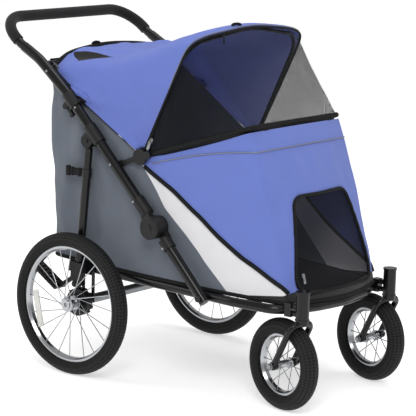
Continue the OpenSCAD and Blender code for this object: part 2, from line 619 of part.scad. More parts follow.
module fork() color("#222224") at_caster() {
    lower = [-caster_trail, 0, front_tyre_r];
    tube([[-caster_trail, fork_half, front_tyre_r], [0, fork_half, fork_top], [0, -fork_half, fork_top],
        [-caster_trail, -fork_half, front_tyre_r]], fork_r, [0, 22, 22, 0]);
    translate([0, 0, fork_top]) cylinder(r = stem_r, h = head_bottom + head_len - 9 - fork_top);
    translate([0, 0, fork_top - 1]) cylinder(r = head_r, h = head_bottom - gap - fork_top + 1);
    translate(lower) rotate([-90, 0, 0]) translate([0, 0, -fork_half - 12])
        cylinder(r = front_axle_r, h = 2 * fork_half + 24);
    for (y = [-fork_half - 3, fork_half - 3]) translate([0, y, 0]) cross_pin(lower, 0, 6, 12);
}

placed() side(1) base_rail();  // base_rail_l
placed() side(-1) base_rail();  // base_rail_r
placed() base_front();
placed() side(1) caster_arm();  // caster_arm_l
placed() side(-1) caster_arm();  // caster_arm_r
placed() side(1) rear_bracket();  // rear_bracket_l
placed() side(-1) rear_bracket();  // rear_bracket_r
placed() rear_axle();
placed() side(1) brake_mount();  // brake_mount_l
placed() side(-1) brake_mount();  // brake_mount_r
placed() floor_board();
placed() cabin_tub();
placed() cabin_upper();
placed() door_mesh();
placed() side(1) lower_tube();  // lower_tube_l
placed() side(-1) lower_tube();  // lower_tube_r
placed() side(1) hinge_lower();  // hinge_lower_l
placed() side(-1) hinge_lower();  // hinge_lower_r
placed() side(1) upper_tube();  // upper_tube_l
placed() side(-1) upper_tube();  // upper_tube_r
placed() handle_bar();
placed() grip();
placed() side(1) hinge_upper();  // hinge_upper_l
placed() side(-1) hinge_upper();  // hinge_upper_r
placed() side(1) lug_sleeve();  // lug_sleeve_l
placed() side(-1) lug_sleeve();  // lug_sleeve_r
placed() side(1) latch_sleeve();  // latch_sleeve_l
placed() side(-1) latch_sleeve();  // latch_sleeve_r
placed() side(1) canopy_bracket();  // canopy_bracket_l
placed() side(-1) canopy_bracket();  // canopy_bracket_r
placed() rear_top_bar();
placed() rim_bow();
placed() canopy();
placed() mesh_screen();
placed() canopy_hoop();
placed() side(1) rear_leg();  // rear_leg_l
placed() side(-1) rear_leg();  // rear_leg_r
placed() side(1) leg_foot_block();  // leg_foot_l
placed() side(-1) leg_foot_block();  // leg_foot_r
placed() leg_strap();
placed() side(1) hinge_button();  // hinge_button_l
placed() side(-1) hinge_button();  // hinge_button_r
placed() side(1) latch_hook();  // latch_hook_l
placed() side(-1) latch_hook();  // latch_hook_r
placed() side(1) brake_pedal();  // brake_pedal_l
placed() side(-1) brake_pedal();  // brake_pedal_r
placed() side(1) rear_tyre();  // tyre_rl
placed() side(1) rear_wheel();  // wheel_rl
placed() side(1) brake_ring();  // brake_ring_l
placed() side(-1) rear_tyre();  // tyre_rr
placed() side(-1) rear_wheel();  // wheel_rr
placed() side(-1) brake_ring();  // brake_ring_r
placed() fork();  // fork_l
placed() front_tyre();  // tyre_fl
placed() front_wheel();  // wheel_fl
placed() translate([0, -2 * caster_y, 0]) fork();  // fork_r
placed() translate([0, -2 * caster_y, 0]) front_tyre();  // tyre_fr
placed() translate([0, -2 * caster_y, 0]) front_wheel();  // wheel_fr
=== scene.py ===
# %% [markdown]
# # A folding pet stroller
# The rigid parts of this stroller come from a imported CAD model, which stays as it is and only
# gets its finishes here. Everything sewn is made in this script: the cabin, the canopy, the two
# mesh screens and the tapes that bind their edges. We work in metres, with +X forward, +Y to the
# left and +Z up. The cloth is described in millimetres from the rear axle, as a pattern cutter
# would measure it, and one small function turns those figures into the model's own frame.

# %% Load the frame
import math

import bmesh
import bpy
from mathutils import Matrix, Vector, noise
from mathutils.bvhtree import BVHTree


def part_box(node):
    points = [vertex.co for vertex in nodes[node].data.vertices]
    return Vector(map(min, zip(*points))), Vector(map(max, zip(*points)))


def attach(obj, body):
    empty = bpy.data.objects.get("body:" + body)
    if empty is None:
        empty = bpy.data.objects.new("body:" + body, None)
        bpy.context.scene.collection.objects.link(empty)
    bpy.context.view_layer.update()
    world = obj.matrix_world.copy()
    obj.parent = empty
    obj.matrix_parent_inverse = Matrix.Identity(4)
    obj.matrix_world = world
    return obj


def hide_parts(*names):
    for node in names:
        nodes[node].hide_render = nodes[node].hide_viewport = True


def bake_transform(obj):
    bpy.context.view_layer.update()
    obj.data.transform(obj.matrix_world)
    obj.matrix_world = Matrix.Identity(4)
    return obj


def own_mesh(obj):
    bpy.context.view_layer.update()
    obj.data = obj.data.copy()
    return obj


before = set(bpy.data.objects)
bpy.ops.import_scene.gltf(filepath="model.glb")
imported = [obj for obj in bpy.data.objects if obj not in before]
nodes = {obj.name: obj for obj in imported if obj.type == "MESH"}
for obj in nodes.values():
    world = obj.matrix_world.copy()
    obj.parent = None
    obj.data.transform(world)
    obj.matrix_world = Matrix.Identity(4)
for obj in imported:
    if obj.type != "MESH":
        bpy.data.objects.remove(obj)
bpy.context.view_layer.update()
axle_low, axle_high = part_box("rear_axle")
axle_x = (axle_low[0] + axle_high[0]) / 2


def at(x, y, z):
    """A point given in millimetres from the rear axle, as a vector in metres."""
    return Vector((axle_x + x / 1000, y / 1000, z / 1000))


# %% [markdown]
# ## Camera
# A long lens from far away flattens the perspective, as a product shot does. The camera stands at
# the front right of the stroller, a little above the handle, and leans by a degree and a half.


# %% Camera
def new_object(name, data):
    """An object around its data, linked into the scene."""
    made = bpy.data.objects.new(name, data)
    bpy.context.scene.collection.objects.link(made)
    return made


camera = new_object("camera", bpy.data.cameras.new("camera"))
camera.data.lens = 171.77
camera.data.sensor_width = 36
camera.data.clip_end = 60
camera.location = at(3545.9, -4253.4, 1462.8)
aim = at(221.5, 0, 452.8) - camera.location
look = aim.to_track_quat("-Z", "Y").to_matrix().to_4x4()
lean = Matrix.Rotation(math.radians(1.595), 4, "Z")
camera.matrix_world = Matrix.Translation(camera.location) @ look @ lean
bpy.context.scene.camera = camera
print("camera at", [round(c, 3) for c in camera.location])

# %% [markdown]
# ## Materials
# Every finish is built from nodes. Colours are written as the hex values a designer would pick and
# turned to linear light by one function. One helper adds a node with its settings and links, and
# one sets or links the inputs of a node that is there already.


# %% Colour and node helpers
def linear(hex_colour):
    """An sRGB hex colour as linear RGBA."""
    parts = [int(hex_colour[i : i + 2], 16) / 255 for i in (1, 3, 5)]
    return tuple(c / 12.92 if c <= 0.04045 else ((c + 0.055) / 1.055) ** 2.4 for c in parts) + (1.0,)


def plug(node, **inputs):
    """Sets a node's inputs. A value is a number, a colour, an output to link, or a node, for its first."""
    for key, value in inputs.items():
        numbered = key[0] == "i" and key[1:].isdigit()
        socket = node.inputs[int(key[1:]) if numbered else key.replace("_", " ")]
        if isinstance(value, bpy.types.Node):
            value = value.outputs[0]
        if isinstance(value, bpy.types.NodeSocket):
            node.id_data.links.new(value, socket)
        else:
            socket.default_value = value


def add(owner, kind, settings=None, **inputs):
    """Adds a node to a material or a world, with its settings and its inputs."""
    node = owner.node_tree.nodes.new("ShaderNode" + kind)
    for key, value in (settings or {}).items():
        setattr(node, key, value)
    plug(node, **inputs)
    return node


def new_material(name, roughness, metallic=0.0, **more):
    """A material with only its shader, and that shader."""
    material = bpy.data.materials.new(name)
    material.use_nodes = True
    shader = material.node_tree.nodes["Principled BSDF"]
    plug(shader, Roughness=roughness, Metallic=metallic, **more)
    return material, shader


def uneven(material, colour, pattern, spread=0.06):
    """A colour that a pattern makes a little darker here and a little lighter there."""
    dark = tuple(c * (1 - spread) for c in colour[:3]) + (1.0,)
    light = tuple(min(1.0, c * (1 + spread)) for c in colour[:3]) + (1.0,)
    return add(material, "Mix", {"data_type": "RGBA"}, Factor=pattern, i6=dark, i7=light).outputs[2]


def mottle(material, shader, colour, scale, spread=0.12, rough_spread=0.08):
    """Varies a plain colour and its roughness softly, as any real surface does."""
    where = add(material, "TexCoord").outputs["Object"]
    patches = add(material, "TexNoise", Vector=where, Scale=scale, Detail=4.0).outputs["Fac"]
    base = shader.inputs["Roughness"].default_value
    low, high = max(0.02, base - rough_spread), base + rough_spread
    rough = add(material, "MapRange", Value=patches, To_Min=low, To_Max=high)
    plug(shader, Base_Color=uneven(material, colour, patches, spread), Roughness=rough)
    return where


print("helpers ready")

# %% [markdown]
# ### Powder-coated steel tube
# The frame is mild steel tube with a satin black powder coat. Baked powder flows into a faint
# orange peel about a millimetre across, so its highlights are soft at the edges.

# %% Powder coat
powder_black, powder = new_material("powder_coated_steel_black", 0.24, Specular_IOR_Level=0.26,
                                    Coat_Weight=0.08, Coat_Roughness=0.12)
where = mottle(powder_black, powder, linear("#0f0f10"), 18, 0.12, 0.06)
peel = add(powder_black, "TexNoise", Vector=where, Scale=900.0, Detail=2.0).outputs["Fac"]
plug(powder, Normal=add(powder_black, "Bump", Height=peel, Strength=0.25, Distance=0.0002))
print(powder_black.name)

# %% [markdown]
# ### Moulded plastic and board
# The hinges, sleeves, hooks, buttons and pedals are glass-filled nylon from a spark-eroded mould.
# Its fine grain scatters light, so it looks a little greyer and flatter than the tubes. The floor
# board is pressed fibre with an embossed, leather-like skin, whose cells are about 4 mm across.

# %% Moulded nylon and board
nylon_black, nylon = new_material("moulded_nylon_black", 0.46, Specular_IOR_Level=0.32)
where = mottle(nylon_black, nylon, linear("#101011"), 25)
grain = add(nylon_black, "TexVoronoi", Vector=where, Scale=1400.0).outputs["Distance"]
plug(nylon, Normal=add(nylon_black, "Bump", Height=grain, Strength=0.35, Distance=0.0002))
pressed_board, board = new_material("pressed_board_black", 0.62)
where = mottle(pressed_board, board, linear("#1b1b1d"), 14)
skin = add(pressed_board, "TexVoronoi", Vector=where, Scale=260.0).outputs["Distance"]
plug(board, Normal=add(pressed_board, "Bump", Height=skin, Strength=0.4, Distance=0.0006))
print(nylon_black.name, pressed_board.name)

# %% [markdown]
# ### Bright metal
# The rims and spokes are chromed steel, polished and nearly a mirror. The axle, the rivets and the
# zip pullers are zinc plated and brushed, which breaks the reflections into fine streaks.

# %% Chrome and zinc
chrome, chrome_shader = new_material("chromed_steel", 0.2, 1.0)
mottle(chrome, chrome_shader, linear("#a9abae"), 30, 0.05, 0.05)
zinc, zinc_shader = new_material("zinc_plated_steel", 0.34, 1.0)
where = mottle(zinc, zinc_shader, linear("#8f9295"), 40, 0.1, 0.08)
stretched = add(zinc, "Mapping", Vector=where, Scale=(30.0, 900.0, 900.0)).outputs["Vector"]
streaks = add(zinc, "TexNoise", Vector=stretched, Scale=1.0).outputs["Fac"]
plug(zinc_shader, Normal=add(zinc, "Bump", Height=streaks, Strength=0.2, Distance=0.0001))
print(chrome.name, zinc.name)

# %% [markdown]
# ### Foam grip
# The handle wears a sleeve of closed-cell EVA foam. Its cells, drawn about a millimetre across,
# leave a dull, velvety skin with hardly any highlight.

# %% Foam
foam, foam_shader = new_material("eva_foam_black", 0.86, Specular_IOR_Level=0.25,
                                 Sheen_Weight=0.1, Sheen_Roughness=0.6)
where = mottle(foam, foam_shader, linear("#111112"), 20)
cells = add(foam, "TexVoronoi", Vector=where, Scale=1100.0).outputs["Distance"]
plug(foam_shader, Normal=add(foam, "Bump", Height=cells, Strength=0.6, Distance=0.0004))
print(foam.name)

# %% [markdown]
# ### Tyre rubber
# Each tyre carries small tread blocks in diagonal rows that wrap over its shoulder. The pattern is
# worked out from the angle round the hub and the distance across the tread, so it turns with the
# wheel. The sidewall stays smooth, with fine rings. A block comes every 9 mm or so, and its relief
# is drawn deeper than it is, so that it shows.

# %% Tyre
CASTER_YAW = math.radians(11.4)  # the front wheels stand turned by this much
ROW_LEAN = 7.0  # how steeply the rows of blocks lean over the shoulder
RINGS = 1400.0  # sidewall rings, in radians for each metre of radius
TREAD_RELIEF = 0.007


def tyre_rubber(name, hub, tread_r, section, yaw, pairs):
    """Rubber for one tyre. Its measures are in metres, and pairs counts its blocks and gaps."""
    material, shader = new_material(name, 0.7, Specular_IOR_Level=0.3)
    where = add(material, "TexCoord").outputs["Object"]
    moved = add(material, "VectorMath", {"operation": "SUBTRACT"}, i0=where, i1=tuple(hub))
    turned = add(material, "VectorRotate", {"rotation_type": "Z_AXIS"}, Vector=moved, Angle=-yaw)
    split = add(material, "SeparateXYZ", Vector=turned).outputs
    angle = add(material, "Math", {"operation": "ARCTAN2"}, i0=split["Z"], i1=split["X"])
    xx = add(material, "Math", {"operation": "MULTIPLY"}, i0=split["X"], i1=split["X"])
    rr = add(material, "Math", {"operation": "MULTIPLY_ADD"}, i0=split["Z"], i1=split["Z"], i2=xx)
    radius = add(material, "Math", {"operation": "SQRT"}, i0=rr)
    from_centre = add(material, "Math", {"operation": "SUBTRACT"}, i0=radius, i1=tread_r - section)
    round_tyre = add(material, "Math", {"operation": "ARCTAN2"}, i0=split["Y"], i1=from_centre)
    rows = []
    for lean in (-ROW_LEAN, ROW_LEAN):
        row = add(material, "Math", {"operation": "MULTIPLY"}, i0=round_tyre, i1=lean)
        phase = add(material, "Math", {"operation": "MULTIPLY_ADD"}, i0=angle, i1=float(pairs), i2=row)
        rows.append(add(material, "Math", {"operation": "SINE"}, i0=phase))
    knobs = add(material, "Math", {"operation": "MULTIPLY"}, i0=rows[0], i1=rows[1])
    smooth = {"interpolation_type": "SMOOTHSTEP"}
    crisp = add(material, "MapRange", smooth, Value=knobs, From_Min=-0.05, From_Max=0.12)
    shoulder = add(material, "MapRange", smooth, Value=from_centre,
                   From_Min=section * -0.1, From_Max=section * 0.15)
    tread = add(material, "Math", {"operation": "MULTIPLY"}, i0=crisp, i1=shoulder)
    rings = add(material, "Math", {"operation": "MULTIPLY"}, i0=radius, i1=RINGS)
    ringed = add(material, "Math", {"operation": "SINE"}, i0=rings)
    relief = add(material, "Math", {"operation": "MULTIPLY_ADD"}, i0=ringed, i1=0.06, i2=tread)
    raised = add(material, "Bump", Height=relief, Strength=1.0, Distance=TREAD_RELIEF)
    tone = add(material, "Mix", {"data_type": "RGBA"}, Factor=tread,
               i6=linear("#060606"), i7=linear("#232325")).outputs[2]
    plug(shader, Base_Color=tone, Normal=raised)
    return material


def centre_of(name):
    """The middle of a CAD piece's box."""
    low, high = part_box(name)
    return [(a + b) / 2 for a, b in zip(low, high)]


tyres = {}
for name, radius, section, yaw, pairs in (
    ("tyre_rl", 0.197, 0.0216, 0.0, 66),
    ("tyre_rr", 0.197, 0.0216, 0.0, 66),
    ("tyre_fl", 0.122, 0.0238, -CASTER_YAW, 44),
    ("tyre_fr", 0.122, 0.0238, -CASTER_YAW, 44),
):
    tyres[name] = tyre_rubber("tyre_rubber_" + name[-2:], centre_of(name), radius, section, yaw, pairs)
print("tyres", len(tyres))

# %% [markdown]
# ### Cloth
# The cabin is 600-denier polyester in plain weave, coated on the inside. A real thread is about
# 0.5 mm; it is drawn at 1.2 mm here so that the weave still shows. The threads follow the piece's
# own UV map. The panels change colour along a seam, and each point of the cloth carries its signed
# distance from the seam in an attribute, so that the edge stays sharp at any distance. Daylight
# comes through the canopy and its pale lining, so both mix in a translucent shader.

# %% Woven cloth
THREAD = 0.0012  # metres from thread to thread
# A dark cloth colour. On the canopy it is also the painted shade inside the slit.
DARK_CLOTH_AND_SLIT_SHADE = "#1e1e20"


def cross_waves(material, pitch):
    """Two waves that cross on the piece's UV map, which is in metres. Half a wave is one pitch."""
    uv = add(material, "UVMap", {"uv_map": "UVMap"})
    split = add(material, "SeparateXYZ", Vector=uv).outputs
    waves = []
    for axis in ("X", "Y"):
        phase = add(material, "Math", {"operation": "MULTIPLY"}, i0=split[axis], i1=math.pi / pitch)
        waves.append(add(material, "Math", {"operation": "SINE"}, i0=phase))
    return waves


def weave(material, shader, strength=0.5):
    """Threads that go over and under, on top of soft creases, which it gives back."""
    waves = cross_waves(material, THREAD)
    crossed = add(material, "Math", {"operation": "MULTIPLY"}, i0=waves[0], i1=waves[1])
    where = add(material, "TexCoord").outputs["Object"]
    creases = add(material, "TexNoise", Vector=where, Scale=16.0, Detail=5.0,
                  Roughness=0.55).outputs["Fac"]
    height = add(material, "Math", {"operation": "MULTIPLY_ADD"}, i0=creases, i1=9.0, i2=crossed)
    plug(shader, Normal=add(material, "Bump", Height=height, Strength=strength, Distance=0.0006))
    return creases


def dyed(material, panel, attribute, colour):
    """Lays a colour over a panel's own wherever a point attribute is above zero."""
    inside = add(material, "Attribute", {"attribute_name": attribute}).outputs["Fac"]
    mask = add(material, "Math", {"operation": "GREATER_THAN"}, i0=inside, i1=0.0)
    return add(material, "Mix", {"data_type": "RGBA"}, Factor=mask, i6=panel, i7=colour).outputs[2]


cabin_cloth, cabin_shader = new_material("polyester_oxford_panels", 0.82,
                                         Sheen_Weight=0.12, Sheen_Roughness=0.5)
creases = weave(cabin_cloth, cabin_shader)
# The panel colours follow the creases: painted shade in their hollows and painted light on their ridges.
panel = uneven(cabin_cloth, linear("#6c7fce"), creases)
for attribute, colour in (("white_panel", "#ededf0"), ("grey_panel", "#656c77"), ("black_band", DARK_CLOTH_AND_SLIT_SHADE)):
    panel = dyed(cabin_cloth, panel, attribute, uneven(cabin_cloth, linear(colour), creases))
plug(cabin_shader, Base_Color=panel)

canopy_cloth, canopy_shader = new_material("polyester_oxford_blue", 0.8, Sheen_Weight=0.12, Sheen_Roughness=0.5)
# As on the cabin, the blue follows the creases: painted shade in their hollows and painted light on their
# ridges.
creases = weave(canopy_cloth, canopy_shader)
# Inside the slit the blue is painted near-black: painted shade where the gap's inside would show.
panel = dyed(canopy_cloth, uneven(canopy_cloth, linear("#7b8fe4"), creases), "painted_slit_shade", linear(DARK_CLOTH_AND_SLIT_SHADE))
plug(canopy_shader, Base_Color=panel)

lining, lining_shader = new_material("coated_polyester_lining", 0.7)
# The lining's colour follows its creases too: painted shade in the hollows and painted light on the ridges.
lining_colour = uneven(lining, linear("#dfe4fb"), weave(lining, lining_shader, 0.3))
plug(lining_shader, Base_Color=lining_colour)
for cloth, face, colour, share in (
    (lining, lining_shader, lining_colour, 0.5),
    (canopy_cloth, canopy_shader, panel, 0.25),
):
    daylight = add(cloth, "BsdfTranslucent", Color=colour)
    both_ways = add(cloth, "MixShader", Fac=share, i1=face, i2=daylight)
    plug(cloth.node_tree.nodes["Material Output"], Surface=both_ways)
print(cabin_cloth.name, canopy_cloth.name, lining.name)

# %% [markdown]
# ### Tape and mesh
# The edges are bound with black polypropylene tape, which has a herringbone rib. The screens are
# black knitted polyester net. Real holes are about 1.5 mm; they are drawn at 3 mm so that one can
# look through them here as one can on the real net.

# %% Tape and net
NET_PITCH = 0.003  # metres from hole to hole
NET_THREAD = 0.29  # where the wave is lower than this there is thread, and elsewhere a hole

tape, tape_shader = new_material("polypropylene_tape_black", 0.7, Specular_IOR_Level=0.22)
where = mottle(tape, tape_shader, linear("#0f0f10"), 40)
ribs = add(tape, "TexWave", {"wave_type": "BANDS"}, Vector=where, Scale=180.0,
           Distortion=2.0).outputs["Fac"]
plug(tape_shader, Normal=add(tape, "Bump", Height=ribs, Strength=0.4, Distance=0.0004))
piping, piping_shader = new_material("reflective_piping_grey", 0.4, 0.3)
mottle(piping, piping_shader, linear("#84878f"), 60)
reflector_plastic, reflector_shader = new_material("acrylic_reflector_clear", 0.15, IOR=1.49,
                                                   Transmission_Weight=0.3)
mottle(reflector_plastic, reflector_shader, linear("#f2f1ec"), 50, 0.05, 0.02)

net, net_shader = new_material("knitted_net_black", 0.8, Specular_IOR_Level=0.25)
mottle(net, net_shader, linear("#1c1c1e"), 30)
walls = [add(net, "Math", {"operation": "ABSOLUTE"}, i0=wave) for wave in cross_waves(net, NET_PITCH)]
hole = add(net, "Math", {"operation": "MINIMUM"}, i0=walls[0], i1=walls[1])
thread = add(net, "Math", {"operation": "LESS_THAN"}, i0=hole, i1=NET_THREAD)
plug(net_shader, Alpha=thread)
print(tape.name, piping.name, net.name)

# %% [markdown]
# ### Dress the frame
# Each CAD piece keeps its shape. Only its material is changed, by name.

# %% Dress the CAD pieces
finishes = {
    "hinge_button": nylon_black, "latch_hook": nylon_black, "rear_axle": zinc, "wheel": chrome, "grip": foam,
    "floor_board": pressed_board, "hinge_": nylon_black, "lug_": nylon_black, "latch_sleeve": nylon_black,
    "canopy_bracket": nylon_black, "leg_foot": nylon_black, "brake_": nylon_black, "rim_bow": tape,
    "leg_strap": tape,
}
for name, piece in nodes.items():
    finish = tyres.get(name) or next((m for key, m in finishes.items() if name.startswith(key)), powder_black)
    for slot in piece.material_slots:
        slot.material = finish
print("dressed", len(nodes), "pieces")

# %% [markdown]
# ## Sewn pieces
# A sewn panel starts as a plain grid. We move its rows onto the lines that the pattern gives, round
# it with a Subdivision Surface, and keep the result as a mesh. Small folds are then pushed into it
# along its normals. Its UV map is laid out in metres along the rows and columns, so the weave runs
# with the cloth.


# %% Cloth helpers
def keep_mesh(piece):
    """Applies what the modifiers make."""
    bpy.context.view_layer.update()
    made = bpy.data.meshes.new_from_object(piece.evaluated_get(bpy.context.evaluated_depsgraph_get()))
    piece.modifiers.clear()
    piece.data = made
    return piece


def running_length(points):
    """How far along a line of points each of them lies."""
    lengths = [0.0]
    for before, after in zip(points, points[1:]):
        lengths.append(lengths[-1] + (after - before).length)
    return lengths


def cloth_grid(name, rows, smooth=2):
    """A sheet through rows of points, rounded by subdivision. rows[i][j] are vectors."""
    across, along = len(rows[0]), len(rows)
    sheet = bmesh.new()
    bmesh.ops.create_grid(sheet, x_segments=across - 1, y_segments=along - 1, size=1)
    laid = sorted(sheet.verts, key=lambda v: (round(v.co.y, 5), round(v.co.x, 5)))
    uv = sheet.loops.layers.uv.new("UVMap")
    widths = running_length(rows[along // 2])
    heights = running_length([row[across // 2] for row in rows])
    place = {}
    for number, vert in enumerate(laid):
        i, j = divmod(number, across)
        place[vert] = (widths[j], heights[i])
        vert.co = rows[i][j]
    for face in sheet.faces:
        for loop in face.loops:
            loop[uv].uv = place[loop.vert]
    bmesh.ops.remove_doubles(sheet, verts=sheet.verts, dist=1e-6)
    piece = new_object(name, bpy.data.meshes.new(name))
    sheet.to_mesh(piece.data)
    sheet.free()
    rounded = piece.modifiers.new("rounded", "SUBSURF")
    rounded.levels = rounded.render_levels = smooth
    rounded.boundary_smooth = "PRESERVE_CORNERS"
    return keep_mesh(piece)


def fold(piece, amount, size, stretch=(1, 1, 1), free=None):
    """Pushes small folds into a sheet. free(point) is how freely it can move there, 0 to 1."""
    mesh = piece.data
    moves = []
    for vert in mesh.vertices:
        p = Vector((vert.co.x * stretch[0], vert.co.y * stretch[1], vert.co.z * stretch[2])) / size
        push = noise.noise(p) + 0.5 * noise.noise(p * 2.1)
        moves.append(vert.normal * push * amount * (free(vert.co) if free else 1))
    for vert, move in zip(mesh.vertices, moves):
        vert.co += move
    mesh.update()


def smooth_shaded(piece):
    """Shades every face of a piece smoothly."""
    for face in piece.data.polygons:
        face.use_smooth = True
    return piece


def thicken(piece, thickness, material, inner=None):
    """Gives a sheet its thickness and its material, and its inner side the lining's."""
    piece.data.materials.clear()
    piece.data.materials.append(material)
    if inner:
        piece.data.materials.append(inner)
    wall = piece.modifiers.new("wall", "SOLIDIFY")
    wall.thickness = thickness
    wall.offset = -1
    wall.material_offset = 1 if inner else 0
    return smooth_shaded(keep_mesh(piece))


def tape_along(name, points, width, material, body, closed=False):
    """A bound edge: a round tube along points, whose width is its diameter."""
    curve = bpy.data.curves.new(name, "CURVE")
    curve.dimensions = "3D"
    curve.bevel_depth = width / 2
    curve.bevel_resolution = 3
    curve.resolution_u = 4
    line = curve.splines.new("NURBS")
    line.points.add(len(points) - 1)
    for spot, p in zip(line.points, points):
        spot.co = (*p, 1)
    line.order_u = 3
    line.use_endpoint_u = not closed
    line.use_cyclic_u = closed
    source = new_object(name + "_line", curve)
    bpy.context.view_layer.update()
    mesh = bpy.data.meshes.new_from_object(source.evaluated_get(bpy.context.evaluated_depsgraph_get()))
    bpy.data.objects.remove(source)
    mesh.materials.clear()
    mesh.materials.append(material)
    piece = smooth_shaded(new_object(name, mesh))
    if body:
        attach(piece, body)
    return piece


print("cloth helpers ready")

# %% [markdown]
# ### Cabin
# The cabin is a tapered tub. Its lower edge follows the base tubes and is bowed out at the front;
# its upper edge runs along the slanted frame tubes down to the canopy's pivot and from there up to
# the front along the rim. We list the stations round half of it, once at the bottom and once at
# the top, and mirror them. The rows between bulge a little, because the cloth hangs between tubes.

# %% Cabin stations
PIVOT = (192, 621)  # the canopy's pivot: length and height
RIM = math.radians(17)  # slope of the front rim
TUBE = math.radians(34)  # slope of the frame tubes behind the pivot
REAR_TOP = 846  # height of the cloth at the rear bar
SIDE_BULGE, FRONT_BULGE = 7, 10  # how far the cloth stands out between the tubes
WIDEST = 251  # half the width that the side panels may reach


def clamped(value):
    """A value kept between 0 and 1."""
    return min(1, max(0, value))


def bottom_z(x):
    """The foot of the cabin drops a little towards the front, with the base tubes."""
    return 302.5 - x * math.tan(math.radians(1.6))


def tube_z(x):
    """The cloth ends 4 mm under the line of the slanted tubes."""
    return PIVOT[1] + (PIVOT[0] - x) * math.tan(TUBE) - 4


def rim_z(x):
    """The rim climbs to the front, and its last stretch rises 7 mm more."""
    return PIVOT[1] + (x - PIVOT[0]) * math.tan(RIM) - 10 + 7 * clamped((x - 410) / 90)


half_bottom = [(-134, 0), (-134, 120), (-134, 215), (-132, 238), (-105, 245), (30, 248), (150, 250), (235, 250),
               (380, 243), (520, 225), (622, 209), (645, 203), (655, 188), (676, 125), (691, 60), (696, 0)]
half_top = [(-160, 0), (-160, 120), (-160, 214), (-158, 238), (-132, 246), (-20, 249), (90, 250), (192, 251),
            (290, 244), (410, 225), (488, 212), (508, 206), (514, 192), (520, 125), (524, 60), (525, 0)]


def half_row(t):
    """One row of half the cabin at a share t of its height."""
    row = []
    for (bx, by), (tx, ty) in zip(half_bottom, half_top):
        if tx >= PIVOT[0]:
            top = rim_z(tx)
        else:
            top = tube_z(tx) if tx > -120 else REAR_TOP - abs(ty) * 0.01
        bulge = math.sin(math.pi * t) * (SIDE_BULGE if bx < 600 else FRONT_BULGE)
        x, y = bx + (tx - bx) * t, by + (ty - by) * t
        z = bottom_z(bx) + (top - bottom_z(bx)) * t
        if by == 0 or bx > 640:
            x += bulge if bx > 0 else -bulge * 0.5
        elif by > 235 and -100 < bx < 600:
            y = min(y + bulge * 0.4, WIDEST)
        row.append((x, y, z))
    return row


levels = [0, 0.02, 0.12, 0.26, 0.4, 0.54, 0.68, 0.82, 0.95, 1.0]
rows = []
for t in levels:
    half = half_row(t)
    right = [at(x, -y, z) for x, y, z in half]
    left = [at(x, y, z) for x, y, z in reversed(half)]
    rows.append(right + left[1:])
cabin = cloth_grid("cabin_cloth", rows, 3)
print("cabin grid", len(cabin.data.vertices), "points")

# %% [markdown]
# The door window is a rounded trapezoid in the front face. We delete the faces that lie inside its
# outline and slide the points of the raw edge onto the outline, as a cutter trims to the line.


# %% Door outline
DOOR_LOW, DOOR_HIGH = 311, 547  # heights of the door's lower and upper edge
DOOR_HALF, DOOR_CORNER = 172, 27  # half its width near the foot, and the radius of its corners
DOOR_TAPER = 0.245  # how much each side leans in with the height
DOOR_MIDDLE = 425
FRONT = 480  # beyond this length the cloth belongs to the front face


def inside_door(y, z, grow=0.0):
    """Signed distance in millimetres inside the door's rounded outline, seen from the front."""
    lower, upper = DOOR_LOW - grow, DOOR_HIGH + grow
    side = DOOR_HALF + grow - max(0, z - 323) * DOOR_TAPER
    y, r = abs(y), DOOR_CORNER
    dx, dz = y - (side - r), max(lower + r - z, z - (upper - r))
    if dx > 0 and dz > 0:
        return r - math.hypot(dx, dz)
    return min(side - y, z - lower, upper - z)


def in_mm(p):
    """A point's millimetres from the rear axle, the other way round from at()."""
    return (p.x - axle_x) * 1000, p.y * 1000, p.z * 1000


def door_ring(steps, grow=0.0):
    """Points of the outline, found by walking out from its middle in half millimetres."""
    ring = []
    for k in range(steps):
        a = 2 * math.pi * k / steps
        far = 0.0
        while inside_door(far * math.cos(a), DOOR_MIDDLE + far * math.sin(a), grow) > 0:
            far += 0.5
        ring.append((far * math.cos(a), DOOR_MIDDLE + far * math.sin(a)))
    return ring


def cut_sheet(source, name, keep):
    """A copy of a sheet with only the faces whose middle passes keep."""
    piece = new_object(name, source.data.copy())
    mesh = bmesh.new()
    mesh.from_mesh(piece.data)
    gone = [f for f in mesh.faces if not keep(f.calc_center_median())]
    bmesh.ops.delete(mesh, geom=gone, context="FACES")
    mesh.to_mesh(piece.data)
    mesh.free()
    return piece


def in_door(p, grow=0.0):
    """Whether a point of the cabin lies inside the door's outline."""
    x, y, z = in_mm(p)
    return x > FRONT and inside_door(y, z, grow) > 0


door_net = cut_sheet(cabin, "door_net", lambda p: in_door(p, 9))
cabin_cut = cut_sheet(cabin, "cabin_cloth_cut", lambda p: not in_door(p))
ring = door_ring(720)
mesh = bmesh.new()
mesh.from_mesh(cabin_cut.data)
for vert in mesh.verts:
    x, y, z = in_mm(vert.co)
    if x > FRONT and vert.is_boundary and abs(inside_door(y, z)) < 20 and 300 < z < 560:
        near = min(ring, key=lambda q: (q[0] - y) ** 2 + (q[1] - z) ** 2)
        vert.co = at(x - (near[1] - z) * 0.37, near[0], near[1])
mesh.to_mesh(cabin_cut.data)
mesh.free()
bpy.data.objects.remove(cabin)
cabin = cabin_cut
cabin.name = "cabin_cloth"
print("door cut, outline of", len(ring), "points")

# %% [markdown]
# Now the panels. The side is slate grey behind the slanted tube, white in a narrow curved wedge,
# and blue in front; a black band closes the foot. The seam between white and blue is a curve, so
# we give it as height over length and store how far above or below it each point lies.


# %% Panels
WHITE_SEAM = [(195, 597), (288, 546), (392, 473), (443, 434), (510, 391), (592, 347), (635, 324), (652, 300),
              (662, 262)]
GREY_SEAM = [(250, 505), (294, 472), (361, 406), (424, 344), (490, 273), (559, 223), (595, 192), (620, 190)]
FOOT_BAND = [(570, 11), (635, 20), (668, 40)]


